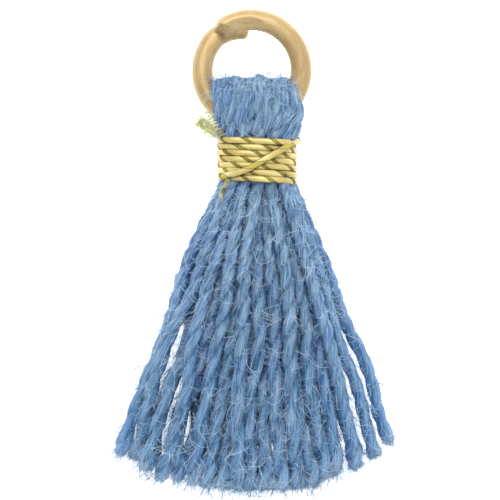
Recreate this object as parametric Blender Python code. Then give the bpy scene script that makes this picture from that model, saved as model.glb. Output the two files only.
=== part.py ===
"""Tassel charm: yarn folded over an open jump ring and bound with foil-wrapped thread.

The tassel lies on its back. The ring points to +Y, the skirt to -Y and the front to +Z.
The origin is on the resting plane, under the middle of the binding. Sizes are in millimetres.
"""

import math

import bmesh
import bpy
import numpy as np
from mathutils import Vector

MM = 0.001

# Jump ring: round wire, its two cut ends lying one over the other at the top left.
RING_CENTRE = (-0.46, 5.97)
RING_MEAN_RADIUS = 3.31
WIRE_RADIUS = 0.69
RING_MID_HEIGHT = 2.35
RING_RISE = 1.60          # how far the open ring climbs from its lower end to its upper end
LOWER_END_ANGLE = 94.5    # degrees, counter-clockwise from +X
UPPER_END_ANGLE = 487.0
LOWER_END_INSET = 0.62    # the lower end is bent into the eye
LOWER_END_BEND = 46.0     # degrees of ring over which it bends

# Binding: seven turns of thread round the neck.
TURNS = 7
TURN_PITCH = 0.417
BAND_CENTRE_X = -0.10
BAND_HALF_WIDTH = 2.69
BAND_HALF_DEPTH = 2.42
BAND_MID_HEIGHT = 2.35
BAND_TILT = 0.058         # the turns run downhill to the right
BAND_SQUARENESS = 2.4
BAND_WALL = 0.42
GROOVE_DEPTH = 0.12
REST_HALF_WIDTH = 0.95    # the underside is pressed flat this far to each side

# Yarn: sixteen lengths folded over the ring make thirty-two legs.
CLEARANCE = 0.30
NECK_LEFT = BAND_CENTRE_X - (BAND_HALF_WIDTH - BAND_WALL - CLEARANCE)
NECK_RIGHT = BAND_CENTRE_X + (BAND_HALF_WIDTH - BAND_WALL - CLEARANCE)
NECK_HALF_DEPTH = 1.63
FOLD_RIBS = 10
RIB_HEIGHT = 0.10
ROOT_RADIUS = 0.265       # half the diagonal of a leg where the binding squeezes it
LEG_RADIUS = 0.44         # and where it hangs free
SWELL_FROM, SWELL_TO = -2.2, -8.5
LEG_TOP = -1.95
ROOT_REACH = 2.0          # the outermost legs' centres, to each side of the neck's middle
TWIST_STEP = 0.70         # a leg turns an eighth of the way round in this length
TIP_FLARE = 1.08          # the cut ends spread a little

# The fold and the neck, from the skirt upwards.
# level: place along Y. left, right: edges. depth: half depth at mid width. edge: at the edges.
FOLD_COLUMNS = ("level", "left", "right", "depth", "edge")
FOLD = (
    (-2.15, -2.42, 2.42, 1.92, 0.50),
    (-1.65, NECK_LEFT, NECK_RIGHT, NECK_HALF_DEPTH, 0.40),
    (1.62, NECK_LEFT, NECK_RIGHT, NECK_HALF_DEPTH, 0.40),
    (2.15, -2.52, 2.42, 2.00, 0.95),
    (2.85, -2.86, 2.68, 2.20, 1.45),
    (3.55, -3.05, 2.85, 2.25, 1.60),
    (4.25, -3.05, 2.84, 2.25, 1.60),
)
FOLD_TOP = 5.48
END_STEPS = 7             # faces across the neck's lower end
END_BULGE = 0.25

# The skirt's outline, from the binding to the hem. level: place along Y.
SKIRT_COLUMNS = ("level", "left", "right")
SKIRT = (
    (-1.5, -2.42, 2.45),
    (-5.4, -3.99, 4.12),
    (-10.1, -5.85, 5.85),
    (-13.4, -7.28, 7.15),
    (-17.4, -8.95, 8.40),
    (-22.2, -10.70, 10.10),
)

# Where the cut ends lie, from left to right. across: place along X. level: place along Y.
HEM_COLUMNS = ("across", "level")
HEM = (
    (-9.9, -19.7), (-8.6, -20.1), (-7.3, -20.5), (-6.3, -21.4), (-3.9, -21.6), (-2.9, -21.9),
    (1.1, -22.0), (3.6, -21.8), (4.8, -21.1), (6.4, -20.9), (7.6, -20.0), (8.6, -18.8),
)

# Rows of legs packed in the neck, back to front: height above the neck's middle, and legs.
ROOT_ROWS = ((-1.40, 5), (-0.70, 7), (0.0, 8), (0.70, 7), (1.40, 5))
ROOT_OVAL = 2.35          # rows narrow towards this height

# The two layers that the legs settle into at the hem. first, last: the outermost legs' places
# along X. height: the layer's centre height.
LAYER_COLUMNS = ("legs", "first", "last", "height")
LAYERS = (
    (13, -7.60, 6.30, LEG_RADIUS),
    (19, -9.35, 8.55, 2.7 * LEG_RADIUS),
)
LONE_FROM, LONE_TO = 0.72, 0.86   # past this share of the layer's width a leg lies on the floor
SETTLE_POWER = 2.2        # how early the legs come down to their layer
FAN_SHARE = 0.75          # part of the length over which the legs reach their place in the fan
SWAY = 0.16               # largest wave of a leg
FRONT_TRIM = (-0.10, 0.15)        # spread of the cut ends along Y
BACK_TRIM = (0.20, 0.90)          # the legs beneath end a little higher

# The crossing turn, from the top right to the bottom left of the binding's front.
CROSSING_FROM = (2.38, 1.30)
CROSSING_TO = (-1.67, -1.15)
CROSSING_HALF_WIDTH = 0.30
CROSSING_FLATNESS = 0.62
CROSSING_SINK = 0.22      # its ends dive between the turns

# The thread's two free ends: centre and half width.
THREAD_END_COLUMNS = ("x", "y", "z", "half_width")
FRAYED_END = (
    (-2.35, 0.95, 3.25, 0.22),
    (-2.62, 1.45, 3.35, 0.24),
    (-3.05, 1.86, 3.40, 0.30),
    (-3.55, 2.18, 3.40, 0.40),
    (-4.05, 2.46, 3.35, 0.30),
)
CUT_END = (
    (-1.95, -0.95, 4.10, 0.20),
    (-2.12, -1.45, 4.42, 0.20),
    (-2.40, -2.05, 4.45, 0.20),
    (-2.72, -2.68, 4.30, 0.16),
)
THREAD_END_FLATNESS = 0.75


def column(table, names, name):
    """One named column of a table, as an array."""
    return np.array([row[names.index(name)] for row in table])


def look_up(table, names, name, at, key):
    """A column's value at a place, read along the table's key column."""
    keys, values = column(table, names, key), column(table, names, name)
    order = np.argsort(keys)
    return np.interp(at, keys[order], values[order])


def smooth_step(low, high, value):
    """0 at low and 1 at high, with level ends."""
    part = np.clip((value - low) / (high - low), 0.0, 1.0)
    return part * part * (3.0 - 2.0 * part)


def clear_scene():
    for old in list(bpy.data.objects):
        bpy.data.objects.remove(old, do_unlink=True)


def finish(name, colour, roughness, metallic):
    """A plain finish for one piece."""
    material = bpy.data.materials.new(name)
    material.use_nodes = True
    shader = material.node_tree.nodes["Principled BSDF"]
    shader.inputs["Base Color"].default_value = (*colour, 1.0)
    shader.inputs["Roughness"].default_value = roughness
    shader.inputs["Metallic"].default_value = metallic
    return material


def add_cap(mesh, row):
    """Close an end with a ladder of faces between the loop's two halves."""
    low, high = 0, len(row) - 1
    while high - low > 2:
        mesh.faces.new((row[low], row[low + 1], row[high - 1], row[high]))
        low, high = low + 1, high - 1
    if high - low == 2:
        mesh.faces.new((row[low], row[low + 1], row[high]))


def add_loft(mesh, loops, closed=False):
    """Skin a row of equal loops of points; close it on itself, or cap both ends."""
    rows = [[mesh.verts.new(Vector(point) * MM) for point in loop] for loop in loops]
    pairs = list(zip(rows, rows[1:]))
    if closed:
        pairs.append((rows[-1], rows[0]))
    for near, far in pairs:
        for i in range(len(near)):
            j = (i + 1) % len(near)
            mesh.faces.new((near[i], near[j], far[j], far[i]))
    if not closed:
        add_cap(mesh, rows[0])
        add_cap(mesh, rows[-1])


def solid(name, lofts, material=None, closed=False, smooth=False):
    """One object made of lofted bodies, with its faces pointing out."""
    mesh = bmesh.new()
    for loops in lofts:
        add_loft(mesh, loops, closed)
    bmesh.ops.recalc_face_normals(mesh, faces=mesh.faces[:])
    bmesh.ops.triangulate(mesh, faces=mesh.faces[:])
    data = bpy.data.meshes.new(name)
    mesh.to_mesh(data)
    mesh.free()
    piece = bpy.data.objects.new(name, data)
    bpy.context.scene.collection.objects.link(piece)
    if material:
        data.materials.append(material)
    if smooth:
        data.shade_smooth()
        data.set_sharp_from_angle(angle=math.radians(50))
    return piece


def combine(piece, other, operation):
    """Join another body to the piece, or cut it away; the other one stays as a guide."""
    other.hide_render = True
    other.display_type = "WIRE"
    boolean = piece.modifiers.new(other.name, "BOOLEAN")
    boolean.object = other
    boolean.operation = operation
    boolean.solver = "EXACT"


def tube_loops(centres, radii, sides, start=0.0, twist=0.0, flat=1.0):
    """Section loops along a path. start, twist: first turn and turn per point. flat: squash."""
    centres = [Vector(centre) for centre in centres]
    loops = []
    for i, centre in enumerate(centres):
        along = centres[min(i + 1, len(centres) - 1)] - centres[max(i - 1, 0)]
        side = Vector((0.0, 0.0, 1.0)).cross(along).normalized() * radii[i]
        top = along.cross(side).normalized() * radii[i] * flat
        loop = []
        for k in range(sides):
            angle = start + twist * i + 2.0 * math.pi * k / sides
            loop.append(centre + side * math.cos(angle) + top * math.sin(angle))
        loops.append(loop)
    return loops


# ---------------------------------------------------------------- jump ring


def ring_point(angle):
    """The wire's centre at an angle of the ring, in degrees."""
    share = (angle - LOWER_END_ANGLE) / (UPPER_END_ANGLE - LOWER_END_ANGLE)
    bend = 1.0 - smooth_step(LOWER_END_ANGLE - 10.0, LOWER_END_ANGLE + LOWER_END_BEND, angle)
    radius = RING_MEAN_RADIUS - LOWER_END_INSET * bend
    turn = math.radians(angle)
    height = RING_MID_HEIGHT + RING_RISE * (share - 0.5)
    return Vector((RING_CENTRE[0] + radius * math.cos(turn), RING_CENTRE[1] + radius * math.sin(turn), height))


def ring_loops(start, stop, wire_radius, steps, sides):
    """Sections of the wire between two angles of the ring."""
    angles = [start + (stop - start) * i / steps for i in range(steps + 1)]
    return tube_loops([ring_point(angle) for angle in angles], [wire_radius] * len(angles), sides)


def build_ring():
    loops = ring_loops(LOWER_END_ANGLE + 3.0, UPPER_END_ANGLE - 11.0, WIRE_RADIUS, 42, 12)
    # The lower end is cut and rounded over.
    lower = ring_loops(LOWER_END_ANGLE, LOWER_END_ANGLE + 1.0, WIRE_RADIUS * 0.72, 1, 12)
    # The upper end is nipped to a wedge: its last section is thin and low.
    upper = ring_loops(UPPER_END_ANGLE - 1.0, UPPER_END_ANGLE, WIRE_RADIUS, 1, 12)[1]
    middle = ring_point(UPPER_END_ANGLE)
    wedge = []
    for point in upper:
        offset = point - middle
        wedge.append(middle + Vector((offset.x * 0.8, offset.y * 0.8, offset.z * 0.25 - WIRE_RADIUS * 0.55)))
    brass = finish("brass_wire", (0.58, 0.38, 0.15), 0.32, 1.0)
    solid("ring", [[lower[0]] + loops + [wedge]], brass, smooth=True)


# ---------------------------------------------------------------- yarn


def fold_loops():
    """Each loop is one rib's or groove's path: up the back, over the ring and down the front."""
    legs = list(column(FOLD, FOLD_COLUMNS, "level"))
    shoulder = legs[-1]
    arc = [math.radians(angle) for angle in (30, 60, 90, 120, 150)]
    columns = 2 * FOLD_RIBS + 1
    loops = []
    for j in range(columns):
        across = math.sin(math.pi / 2 * 0.94 * (2.0 * j / (columns - 1) - 1.0)) / math.sin(math.pi / 2 * 0.94)
        rise = RIB_HEIGHT if j % 2 else 0.0

        def place(level, lean=1.0, lift=0.0, row=0):
            left = look_up(FOLD, FOLD_COLUMNS, "left", level, "level")
            right = look_up(FOLD, FOLD_COLUMNS, "right", level, "level")
            deep = look_up(FOLD, FOLD_COLUMNS, "depth", level, "level")
            edge = look_up(FOLD, FOLD_COLUMNS, "edge", level, "level")
            x = (left + right) / 2 + (right - left) / 2 * across
            depth = math.sqrt(edge ** 2 + (deep ** 2 - edge ** 2) * (1.0 - across ** 2))
            depth += rise * (1.0 if (row + j // 2) % 2 else 0.55)
            slope = BAND_TILT * x * (1.0 - smooth_step(1.6, 3.6, level))
            return Vector((x, level - slope + lift, BAND_MID_HEIGHT + depth * lean))

        back = [place(level, -1.0, 0.0, row) for row, level in enumerate(legs)]
        front = [place(level, 1.0, 0.0, row) for row, level in enumerate(legs)]
        climb = FOLD_TOP - shoulder - 0.9 * max(0.0, across) ** 6
        over = [place(shoulder, -math.cos(turn), (climb + rise) * math.sin(turn), row)
                for row, turn in enumerate(arc)]
        # Closed across the neck's lower end, which bulges a little between the legs.
        end = []
        for k in range(1, END_STEPS):
            share = k / END_STEPS
            point = front[0].lerp(back[0], share)
            point.y -= END_BULGE * math.sin(math.pi * share) * (1.0 - 0.7 * across ** 2)
            end.append(point)
        half = len(end) // 2
        loops.append(end[half:] + back + over + list(reversed(front)) + end[:half])
    return loops


def leg_radius(level):
    return ROOT_RADIUS + (LEG_RADIUS - ROOT_RADIUS) * smooth_step(-SWELL_FROM, -SWELL_TO, -level)


def leg_layout():
    """Each leg's root, place across the hem, height there and trim, before they are spread."""
    roots = []
    for height, legs in ROOT_ROWS:
        reach = ROOT_REACH * math.sqrt(1.0 - (height / ROOT_OVAL) ** 2)
        for k in range(legs):
            roots.append((-reach + 2.0 * reach * k / (legs - 1), BAND_MID_HEIGHT + height))
    roots.sort(key=lambda root: root[1] + 0.01 * root[0])
    layout = []
    for legs, first, last, height in LAYERS:
        layer = sorted(roots[:legs])
        roots = roots[legs:]
        for k, root in enumerate(layer):
            share = 2.0 * k / (legs - 1) - 1.0
            across = (first + last) / 2 + (last - first) / 2 * share * (0.93 + 0.07 * share ** 2)
            lone = smooth_step(LONE_FROM, LONE_TO, abs(share))
            hem_height = height + (LEG_RADIUS - height) * lone
            layout.append((root, across, hem_height, FRONT_TRIM if roots == [] else BACK_TRIM))
    return layout


def spread_apart(places, radii, passes=400):
    """Push crowding legs apart at every level, and keep them smooth and above the floor.

    places: levels x legs x (across, height). radii: one for each level.
    """
    start = places.copy()
    room = 2.0 * radii[:, None, None] * 1.07 + 0.03
    for _ in range(passes):
        gap = places[:, :, None, :] - places[:, None, :, :]
        apart = np.sqrt((gap ** 2).sum(axis=3)) + 1e-6
        push = np.clip(room - apart, 0.0, None)
        push[:, np.arange(len(places[0])), np.arange(len(places[0]))] = 0.0
        places = places + 0.35 * (gap / apart[..., None] * push[..., None]).sum(axis=2)
        places[1:-1] += 0.25 * (places[:-2] + places[2:] - 2.0 * places[1:-1])
        places += 0.01 * (start - places)
        places[:2] = start[:2]
        places[..., 1] = np.maximum(places[..., 1], radii[:, None])
    return places


def leg_paths():
    """The centre line of every leg, from the neck to its cut end."""
    draw = np.random.default_rng(5)
    layout = leg_layout()
    levels = np.arange(LEG_TOP, -22.4, -TWIST_STEP)
    radii = leg_radius(levels)
    left = look_up(SKIRT, SKIRT_COLUMNS, "left", levels, "level") + radii
    right = look_up(SKIRT, SKIRT_COLUMNS, "right", levels, "level") - radii
    share = (LEG_TOP - levels) / (LEG_TOP - levels[-1])
    places = np.zeros((len(levels), len(layout), 2))
    for k, (root, across, hem_height, _) in enumerate(layout):
        root_part = (root[0] - left[0]) / (right[0] - left[0])
        hem_level = look_up(HEM, HEM_COLUMNS, "level", across, "across")
        hem_left = np.interp(hem_level, levels[::-1], left[::-1])
        hem_right = np.interp(hem_level, levels[::-1], right[::-1])
        hem_part = (across - hem_left) / (hem_right - hem_left)
        part = root_part + (hem_part - root_part) * smooth_step(0.0, FAN_SHARE, share)
        sway = draw.uniform(0.0, SWAY) * np.sin(share * 5.0 + draw.uniform(0.0, 6.3)) * share
        places[:, k, 0] = left + (right - left) * part + sway
        settle = 1.0 - (1.0 - share) ** SETTLE_POWER
        places[:, k, 1] = root[1] + (hem_height - root[1]) * settle
    places = spread_apart(places, radii)
    paths = []
    for k, (_, across, _, trim) in enumerate(layout):
        end = look_up(HEM, HEM_COLUMNS, "level", across, "across") + draw.uniform(*trim)
        kept = levels > end + 0.35 * TWIST_STEP
        rows = np.append(levels[kept], end)
        x = np.interp(-rows, -levels, places[:, k, 0])
        z = np.interp(-rows, -levels, places[:, k, 1])
        z[-1] = max(z[-1], LEG_RADIUS * TIP_FLARE)
        paths.append([Vector(point) for point in zip(x, rows - BAND_TILT * x * (rows > -3.0), z)])
    return paths


def build_yarn():
    wool = finish("blue_yarn", (0.14, 0.28, 0.48), 0.9, 0.0)
    fold = solid("yarn", [fold_loops()], wool)
    eye = solid("ring_way", [ring_loops(160.0, 380.0, WIRE_RADIUS + CLEARANCE, 26, 12)])
    combine(fold, eye, "DIFFERENCE")
    legs = []
    for k, path in enumerate(leg_paths()):
        radii = [float(leg_radius(point.y)) for point in path]
        radii[-1] *= TIP_FLARE
        legs.append(tube_loops(path, radii, 4, twist=math.pi / 4, start=math.pi / 4 * (k % 2)))
    combine(fold, solid("legs", legs), "UNION")


# ---------------------------------------------------------------- binding


def band_loop(level, half_width, half_depth, groove=0.0, sides=32):
    """One closed section of the wound sleeve, flat along its underside."""
    loop = []
    for k in range(sides):
        turn = 2.0 * math.pi * k / sides
        cos, sin = math.cos(turn), math.sin(turn)
        size = (abs(cos) ** BAND_SQUARENESS + abs(sin) ** BAND_SQUARENESS) ** (-1.0 / BAND_SQUARENESS)
        pressed = sin < 0 and abs(half_width * size * cos) < REST_HALF_WIDTH
        depth = 0.0 if pressed else groove
        x = BAND_CENTRE_X + (half_width - depth) * size * cos
        z = BAND_MID_HEIGHT + (half_depth - depth) * size * sin
        if pressed and half_width == BAND_HALF_WIDTH:
            z = 0.0
        loop.append(Vector((x, level - BAND_TILT * x, z)))
    return loop


def band_surface(x):
    """Height of the sleeve's front at a place across."""
    part = min(abs(x - BAND_CENTRE_X) / BAND_HALF_WIDTH, 0.999)
    return BAND_MID_HEIGHT + BAND_HALF_DEPTH * (1.0 - part ** BAND_SQUARENESS) ** (1.0 / BAND_SQUARENESS)


def sleeve_loops():
    """Ridges of the turns down the outside, then the smooth inside back up."""
    top = TURNS * TURN_PITCH / 2.0
    outer = []
    for step in range(2 * TURNS + 1):
        groove = 0.0 if step % 2 else GROOVE_DEPTH
        outer.append(band_loop(top - step * TURN_PITCH / 2.0, BAND_HALF_WIDTH, BAND_HALF_DEPTH, groove))
    inside = (BAND_HALF_WIDTH - BAND_WALL, NECK_HALF_DEPTH + CLEARANCE)
    return outer + [band_loop(-top, *inside), band_loop(top, *inside)]


def crossing_loops():
    """The turn that crosses the others, lying on their ridges."""
    steps = 9
    centres = []
    for i in range(steps + 1):
        share = i / steps
        x = CROSSING_FROM[0] + (CROSSING_TO[0] - CROSSING_FROM[0]) * share
        y = CROSSING_FROM[1] + (CROSSING_TO[1] - CROSSING_FROM[1]) * share
        sink = CROSSING_SINK if i in (0, steps) else 0.0
        centres.append((x, y, band_surface(x) - sink))
    return tube_loops(centres, [CROSSING_HALF_WIDTH] * len(centres), 4, flat=CROSSING_FLATNESS)


def build_binding():
    foil = finish("foil_thread", (0.62, 0.50, 0.18), 0.35, 0.8)
    band = solid("binding", [sleeve_loops()], foil, closed=True)
    combine(band, solid("crossing", [crossing_loops()]), "UNION")
    for name, rows in (("frayed_end", FRAYED_END), ("cut_end", CUT_END)):
        widths = column(rows, THREAD_END_COLUMNS, "half_width")
        loops = tube_loops([row[:3] for row in rows], widths, 6, flat=THREAD_END_FLATNESS)
        combine(band, solid(name, [loops]), "UNION")


clear_scene()
build_ring()
build_yarn()
build_binding()
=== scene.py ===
"""Looks of the tassel charm: folded two-ply yarn on an open jump ring, bound with foil thread.

Sizes are in millimetres in the part's frame, and MM turns them into metres.
"""

import math

import bmesh
import bpy
import numpy as np
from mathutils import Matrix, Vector


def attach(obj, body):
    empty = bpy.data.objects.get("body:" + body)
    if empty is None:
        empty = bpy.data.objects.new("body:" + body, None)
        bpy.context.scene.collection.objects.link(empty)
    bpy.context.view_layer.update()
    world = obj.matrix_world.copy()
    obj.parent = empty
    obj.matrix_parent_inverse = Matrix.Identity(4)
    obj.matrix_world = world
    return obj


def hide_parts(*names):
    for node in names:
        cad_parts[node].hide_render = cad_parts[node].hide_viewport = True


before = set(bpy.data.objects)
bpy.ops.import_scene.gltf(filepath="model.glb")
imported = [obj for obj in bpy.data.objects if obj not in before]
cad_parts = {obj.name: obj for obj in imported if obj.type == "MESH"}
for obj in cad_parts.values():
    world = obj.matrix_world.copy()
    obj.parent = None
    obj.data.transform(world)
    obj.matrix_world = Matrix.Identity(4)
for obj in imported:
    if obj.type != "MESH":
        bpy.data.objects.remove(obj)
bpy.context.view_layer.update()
scene = bpy.context.scene

# ------------------------------------------------------------ table top, light and camera
# The tassel lies on its back on a softly glowing white table, under soft light from above.
# The camera looks straight down at its front, with the ring at the top of the picture.

MM = 0.001
PICTURE_CENTRE = (-0.57, -6.04)
PICTURE_WIDTH = 33.53
PICTURE_LEVEL = 2.0               # the height over the table at which the picture is that wide
LENS = 150.0
SENSOR = 36.0
TABLE_SIZE = 0.9                  # in metres, as the lights' sizes and places are


class Wire:
    """A node tree's socket: arithmetic on it adds Math nodes, and node() adds any other kind."""

    def __init__(self, tree, socket=None):
        self.tree, self.socket = tree, socket

    def node(self, kind, *values, output=0, at=None, **named):
        """Add a node. Lower-case names are its settings, capitalised ones its sockets.

        values are its first sockets in order, and at holds sockets by number, where names repeat.
        """
        made = self.tree.nodes.new(kind)
        sockets = {**dict(enumerate(values)), **(at or {})}
        for name, value in named.items():
            if name == "stops":
                ramp = made.color_ramp.elements
                while len(ramp) < len(value):
                    ramp.new(0.5)
                for element, (place, colour) in zip(ramp, value):
                    element.position, element.color = place, (*colour, 1.0)
            elif name.islower():
                setattr(made, name, value)
            else:
                sockets[name.replace("_", " ")] = value
        for key, value in sockets.items():
            for item in value if isinstance(value, list) else [value]:
                if isinstance(item, Wire):
                    self.tree.links.new(item.socket, made.inputs[key])
                else:
                    made.inputs[key].default_value = item
        return Wire(self.tree, made.outputs[output] if len(made.outputs) else None)

    def __getitem__(self, name):
        """Another output of the node that this wire comes from."""
        return Wire(self.tree, self.socket.node.outputs[name])

    def math(self, operation, *values):
        return self.node("ShaderNodeMath", *values, operation=operation)

    def __add__(self, other):
        return self.math("ADD", self, other)

    def __sub__(self, other):
        return self.math("SUBTRACT", self, other)

    def __rsub__(self, other):
        return self.math("SUBTRACT", other, self)

    def __mul__(self, other):
        return self.math("MULTIPLY", self, other)

    def __truediv__(self, other):
        return self.math("DIVIDE", self, other)

    __radd__, __rmul__ = __add__, __mul__

    def ease(self, low, high):
        """0 below low, 1 above high and a smooth slope between them."""
        return self.node("ShaderNodeMapRange", Value=self, From_Min=low, From_Max=high,
                         interpolation_type="SMOOTHSTEP")

    def vector(self, operation, *values, **named):
        """Vector Math on this wire, which gives a number for a distance or a dot product."""
        output = int(operation in ("DISTANCE", "DOT_PRODUCT"))
        return self.node("ShaderNodeVectorMath", self, *values, output=output, operation=operation, **named)

    def scaled(self, factor):
        return self.vector("SCALE", Scale=factor)

    def parts(self):
        """The wire's vector as numbers, named X, Y and Z."""
        return self.node("ShaderNodeSeparateXYZ", self)

    def xyz(self, *parts):
        """A vector of three numbers."""
        return self.node("ShaderNodeCombineXYZ", *parts)


def finish_of(name, **fixed):
    """A Principled material with its constant sockets set, and the place on the piece."""
    material = bpy.data.materials.new(name)
    material.use_nodes = True
    shader = material.node_tree.nodes["Principled BSDF"]
    for socket, value in fixed.items():
        shader.inputs[socket.replace("_", " ")].default_value = value
    return material, shader, Wire(material.node_tree).node("ShaderNodeTexCoord", output=3)


def placed(name, data):
    """An object for the data, in the scene."""
    item = bpy.data.objects.new(name, data)
    scene.collection.objects.link(item)
    return item


def piece_of(name, mesh):
    """An object made from a bmesh."""
    data = bpy.data.meshes.new(name)
    mesh.to_mesh(data)
    mesh.free()
    return placed(name, data)


def table_top():
    mesh = bmesh.new()
    bmesh.ops.create_grid(mesh, x_segments=1, y_segments=1, size=TABLE_SIZE / 2)
    table = piece_of("table_top", mesh)
    white, _, _ = finish_of("light_table", Base_Color=(0.93, 0.93, 0.935, 1.0), Roughness=0.9,
                            Emission_Color=(1.0, 1.0, 1.0, 1.0), Emission_Strength=0.9)
    table.data.materials.append(white)


def soft_light(name, place, size, power, colour):
    """A round lamp that looks at the part's origin."""
    lamp = bpy.data.lights.new(name, "AREA")
    lamp.shape = "DISK"
    lamp.size, lamp.energy, lamp.color = size, power, colour
    holder = placed(name, lamp)
    holder.location = place
    holder.rotation_euler = (-Vector(place)).to_track_quat("-Z", "Y").to_euler()


table_top()
soft_light("key_light", (-0.05, 0.20, 0.34), 0.24, 1.1, (1.0, 0.985, 0.96))
soft_light("fill_light", (0.24, -0.10, 0.30), 0.26, 0.35, (0.96, 0.98, 1.0))

scene.world = bpy.data.worlds.new("studio")
scene.world.use_nodes = True
sky = scene.world.node_tree.nodes["Background"].inputs
sky["Color"].default_value = (0.92, 0.95, 1.0, 1.0)
sky["Strength"].default_value = 0.60
scene.view_settings.view_transform = "Standard"

lens = bpy.data.cameras.new("camera")
lens.lens, lens.sensor_width, lens.clip_start = LENS, SENSOR, 0.001
camera = placed("camera", lens)
distance = PICTURE_WIDTH * LENS / SENSOR
camera.location = [size * MM for size in (*PICTURE_CENTRE, distance + PICTURE_LEVEL)]
scene.camera = camera

# ------------------------------------------------------------ jump ring
# An open ring of drawn brass wire, plated to a soft satin gold. One end is nipped off at a
# slant and rides over the other end, which is cut square, thinned, rounded and bent into the eye.

RING_CENTRE = (-0.46, 5.97)
RING_RADIUS = 3.31
WIRE_RADIUS = 0.69
RING_HEIGHT = 2.35
RING_RISE = 1.60
LOWER_END = 94.5                  # both ends are angles round the ring, in degrees
UPPER_END = 487.0
LOWER_END_INSET = 0.78            # how far the lower end bends into the eye
BEND_FROM, BEND_TO = -10.0, 46.0  # degrees from that end, as the taper's span is
LOWER_END_TAPER = 0.30
TAPER_SPAN = 34.0
ROUNDING = 0.40
WIRE_SIDES = 40
PRESSED_SHARE = 0.26              # how far the pliers pressed the wire flat, of its radius
PRESSED_FROM, PRESSED_TO = 425.0, 455.0
PRESSED_SIDE = (0.50, 0.866)      # the flat's way inwards and upwards
CREVICE_SHADE_SPOT = (-2.50, 8.34, 2.15)     # painted shade: a dark brown spot in the crevice under the nipped end

# The nipped end's two cuts: degrees from the end that they lie between, a point on each plane,
# and the side that falls away.
NIP_FROM, NIP_TO = -22.0, 25.0
NIPS = (
    ((-2.22, 8.62, 3.10), (-0.22, -0.90, 0.40)),
    ((-2.76, 9.05, 3.10), (-0.95, 0.22, 0.25)),
)


def smooth_step(low, high, value):
    part = np.clip((value - low) / (high - low), 0.0, 1.0)
    return part * part * (3.0 - 2.0 * part)


def wire_centre(angle):
    """The wire's centre at an angle of the ring, in degrees."""
    share = (angle - LOWER_END) / (UPPER_END - LOWER_END)
    bend = 1.0 - smooth_step(LOWER_END + BEND_FROM, LOWER_END + BEND_TO, angle)
    radius = RING_RADIUS - LOWER_END_INSET * bend
    turn = math.radians(angle)
    x = RING_CENTRE[0] + radius * math.cos(turn)
    y = RING_CENTRE[1] + radius * math.sin(turn)
    return Vector((x, y, RING_HEIGHT + RING_RISE * (share - 0.5)))


def wire_reach(angle):
    """The wire's radius at an angle: it thins a little towards its lower end."""
    full = smooth_step(LOWER_END, LOWER_END + TAPER_SPAN, angle)
    return WIRE_RADIUS * (1.0 - LOWER_END_TAPER * (1.0 - full))


def wire_section(angle, radius):
    """One section of the wire, with the flat that the pliers left near the nipped end."""
    centre = wire_centre(angle)
    along = (wire_centre(angle + 0.5) - wire_centre(angle - 0.5)).normalized()
    inward = Vector((0.0, 0.0, 1.0)).cross(along).normalized()
    upward = along.cross(inward)
    if upward.z < 0:
        upward = -upward
    pressed = inward * PRESSED_SIDE[0] + upward * PRESSED_SIDE[1]
    reach = radius * (1.0 - PRESSED_SHARE * smooth_step(PRESSED_FROM, PRESSED_TO, angle))
    section = []
    for k in range(WIRE_SIDES):
        turn = 2.0 * math.pi * k / WIRE_SIDES
        offset = inward * (radius * math.cos(turn)) + upward * (radius * math.sin(turn))
        over = offset.dot(pressed) - reach
        section.append(centre + (offset - pressed * over if over > 0 else offset))
    return section


def nipped_point(k, share):
    """Where the line k of the wire, at a share of its radius, meets the first of the two cuts."""
    low, high = UPPER_END + NIP_FROM, UPPER_END + NIP_TO
    for _ in range(26):
        middle = (low + high) / 2
        centre = wire_centre(middle)
        point = centre + (wire_section(middle, WIRE_RADIUS)[k] - centre) * share
        past = max((point - Vector(place)).dot(Vector(side)) for place, side in NIPS)
        low, high = (low, middle) if past > 0 else (middle, high)
    return point, low


def jump_ring():
    """Sweep the wire round, round its lower end and nip its upper end at a slant."""
    first = LOWER_END + math.degrees(ROUNDING / RING_RADIUS)
    last = UPPER_END + NIP_FROM
    sections = [[wire_centre(LOWER_END)] * WIRE_SIDES]
    for step in range(7):
        turn = math.radians(90.0 * step / 6)
        angle = first - math.degrees(ROUNDING * math.cos(turn) / RING_RADIUS)
        sections.append(wire_section(angle, wire_reach(angle) - ROUNDING * (1.0 - math.sin(turn))))
    for step in range(1, 181):
        angle = first + (last - first) * step / 180
        sections.append(wire_section(angle, wire_reach(angle)))
    stops = [nipped_point(k, 1.0)[1] for k in range(WIRE_SIDES)]
    for step in range(1, 13):
        share = step / 12
        sections.append([wire_section(last + (stop - last) * share, WIRE_RADIUS)[k]
                         for k, stop in enumerate(stops)])
    rim = len(sections) - 1
    for share in (0.97, 0.75, 0.5, 0.25, 0.0):
        sections.append([nipped_point(k, share)[0] for k in range(WIRE_SIDES)])
    mesh = bmesh.new()
    rows = [[mesh.verts.new(point * MM) for point in section] for section in sections]
    for i, (row, after) in enumerate(zip(rows, rows[1:])):
        for k in range(WIRE_SIDES):
            following = (k + 1) % WIRE_SIDES
            face = mesh.faces.new((row[k], row[following], after[following], after[k]))
            face.smooth = i < rim
    for k in range(WIRE_SIDES):
        mesh.edges.get((rows[rim][k], rows[rim][(k + 1) % WIRE_SIDES])).smooth = False
    bmesh.ops.remove_doubles(mesh, verts=mesh.verts, dist=0.0005 * MM)
    bmesh.ops.recalc_face_normals(mesh, faces=mesh.faces)
    return piece_of("wire_ring", mesh)


def noise(where, scale, detail=2.0, stretch=None):
    """Smooth noise over a place, whose axes can be stretched first."""
    if stretch:
        where = where.node("ShaderNodeMapping", Vector=where, Scale=stretch)
    return where.node("ShaderNodeTexNoise", Vector=where, Scale=scale, Detail=detail, noise_dimensions="3D")


def toned(value, *stops):
    """Colours along a value."""
    return value.node("ShaderNodeValToRGB", Fac=value, stops=stops)


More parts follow.
